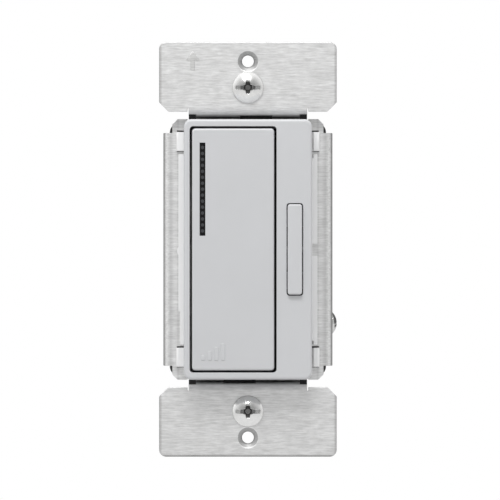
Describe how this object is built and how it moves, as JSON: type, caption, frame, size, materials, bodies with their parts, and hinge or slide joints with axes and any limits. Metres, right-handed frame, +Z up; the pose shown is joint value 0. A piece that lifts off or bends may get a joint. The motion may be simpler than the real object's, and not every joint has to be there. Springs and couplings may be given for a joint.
{
  "type": "dimmer switch",
  "caption": "Wall dimmer with a tall push paddle, a row of lights, a rocking dim bar, a folded aluminium heat-sink strap and a black rear housing with screw terminals",
  "frame": {"origin": "centre of the plane of the ears' backs, midway between the two box screws", "axes": "X to the right seen from the front, Y into the wall, Z up; the front faces -Y"},
  "size_m": [0.0457, 0.0427, 0.1068],
  "materials": {
    "aluminium_sheet": "brushed sheet, straight fine grain across the strap",
    "white_face": "satin moulded thermoplastic, cool white",
    "white_button": "satin moulded thermoplastic, cool white",
    "tray_plastic": "smooth moulded nylon, neutral white",
    "dark_window": "smoked translucent plastic",
    "clear_guide": "clear moulded acrylic",
    "soft_pad": "silicone rubber",
    "dark_board": "glass-epoxy board with a black solder mask",
    "switch_metal": "thin stamped steel cover",
    "black_plastic": "moulded black thermoset, fine matt grain",
    "light_chip": "small encapsulated light",
    "spring_steel": "stainless spring strip",
    "insulator": "mica sheet",
    "ferrite": "coated ferrite",
    "copper_wire": "enamelled copper wire",
    "glass_tube": "clear tube",
    "film_blue": "epoxy coating",
    "zinc_steel": "bright zinc plating",
    "brass_part": "stamped brass",
    "fibre": "pressed fibre"
  },
  "bodies": {
    "dimmer": {"mounting_strap": "aluminium_sheet", "face_frame": "white_face", "switch_tray": "tray_plastic", "dim_pads": "soft_pad", "control_board": "dark_board", "push_switch": "switch_metal", "dim_switches": "switch_metal", "light_row": "light_chip", "light_guide": "clear_guide", "radio_module": "switch_metal", "board_link": "black_plastic", "paddle_spring": "spring_steel", "power_board": "dark_board", "transistors": "black_plastic", "transistor_pads": "insulator", "transistor_rivets": "zinc_steel", "choke_core": "ferrite", "choke_winding": "copper_wire", "fuse_tube": "glass_tube", "fuse_caps": "zinc_steel", "film_capacitor": "film_blue", "storage_capacitor": "black_plastic", "surge_disc": "film_blue", "rear_housing": "black_plastic", "housing_screws": "zinc_steel", "terminal_lugs": "brass_part", "clamp_plates": "zinc_steel", "line_screws": "brass_part", "neutral_screw": "zinc_steel", "mounting_screws": "zinc_steel", "screw_retainers": "fibre", "ground_screw": "zinc_steel"},
    "paddle": {"paddle": "white_button", "light_window": "dark_window"},
    "dim_bar": {"dim_bar": "white_button"},
    "push_plunger": {"push_plunger": "black_plastic"}
  },
  "joints": [
    {"name": "paddle_press", "type": "hinge", "parent": "dimmer", "child": "paddle", "pos_m": [-0.0038, -0.0056, 0.02905], "axis": [1, 0, 0], "range_deg": [0, 0.8], "stiffness_Nm_per_rad": 2, "springref_deg": -1.15, "deforming": ["paddle_spring"]},
    {"name": "dim_bar_tilt", "type": "hinge", "parent": "dimmer", "child": "dim_bar", "pos_m": [0.01205, -0.006, 0], "axis": [1, 0, 0], "range_deg": [-2.5, 2.5], "stiffness_Nm_per_rad": 0.5, "deforming": ["dim_pads"]},
    {"name": "plunger_slide", "type": "slide", "parent": "dimmer", "child": "push_plunger", "axis": [0, 1, 0], "range_m": [0, 0.00051]}
  ],
  "couplings": [
    {"joint": "plunger_slide", "follows": "paddle_press", "m_per_rad": 0.036}
  ]
}
